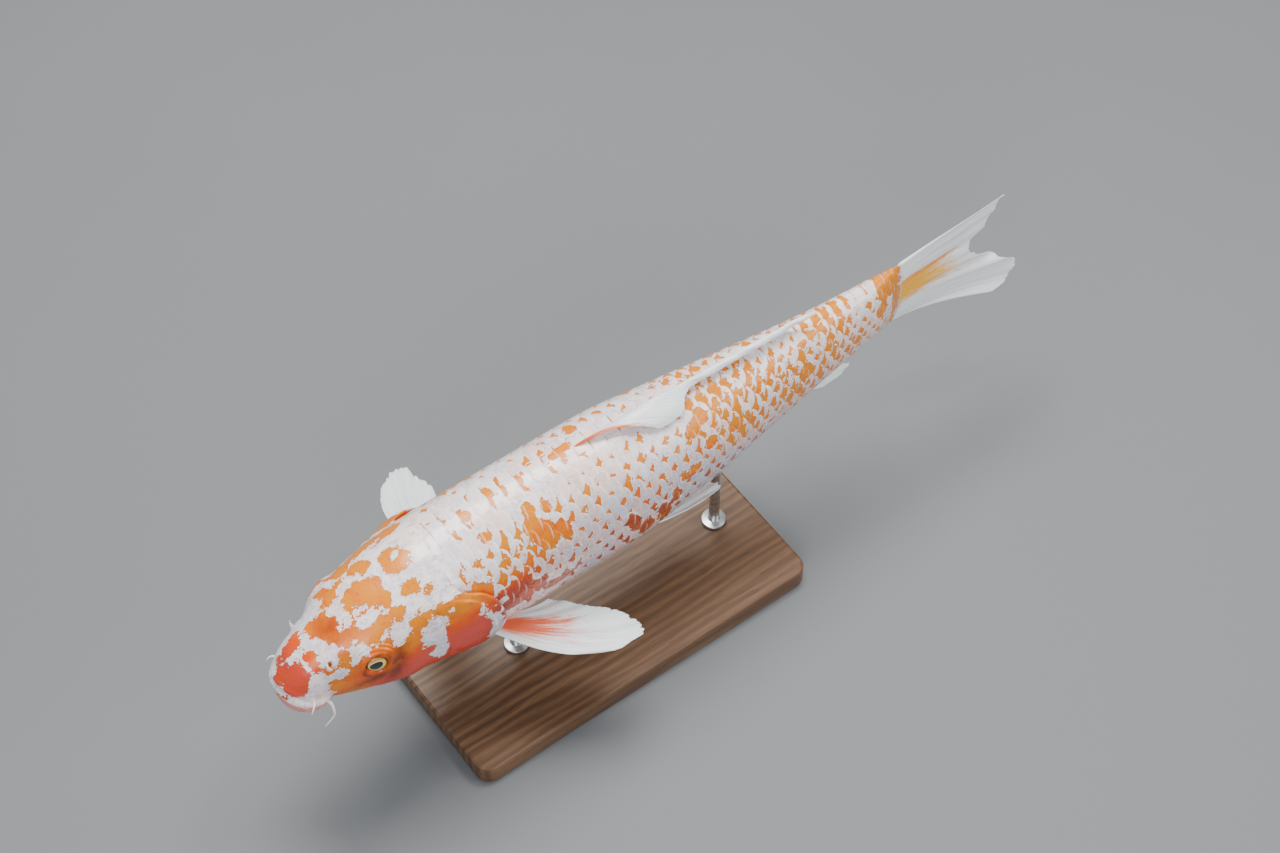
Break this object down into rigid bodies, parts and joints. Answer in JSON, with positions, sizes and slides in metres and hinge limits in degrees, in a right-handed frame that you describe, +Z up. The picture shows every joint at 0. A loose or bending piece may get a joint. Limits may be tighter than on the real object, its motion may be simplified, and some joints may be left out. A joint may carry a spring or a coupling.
{
  "type": "koi carp model",
  "caption": "Still museum model of a slender white and orange koi carp gliding level, fins half folded, held over a flat wooden base by short steel rods.",
  "frame": {"origin": "centre of the display base's underside", "axes": "+Z up; -X is the way the head points; the fish's left flank faces -Y"},
  "size_m": [0.5521, 0.1829, 0.195],
  "materials": {
    "scaled_skin": "satin",
    "gill_cover": "satin",
    "upper_lip": "satin",
    "lower_lip": "satin",
    "eye": "polished",
    "barbel": "satin",
    "fin": "satin",
    "stand_wood": "oiled",
    "stand_steel": "brushed"
  },
  "bodies": {
    "root": {"head": "scaled_skin", "trunk": "scaled_skin", "tail_stalk": "scaled_skin", "lip_upper": "upper_lip", "lip_lower": "lower_lip", "eye_left": "eye", "eye_right": "eye", "gill_cover_left": "gill_cover", "gill_cover_right": "gill_cover", "barbel_long_left": "barbel", "barbel_long_right": "barbel", "barbel_short_left": "barbel", "barbel_short_right": "barbel", "fin_pectoral_left": "fin", "fin_pelvic_left": "fin", "fin_pectoral_right": "fin", "fin_pelvic_right": "fin", "fin_dorsal": "fin", "fin_anal": "fin", "fin_tail": "fin", "stand_base": "stand_wood", "stand_rod_front": "stand_steel", "stand_rod_rear": "stand_steel"}
  },
  "joints": []
}
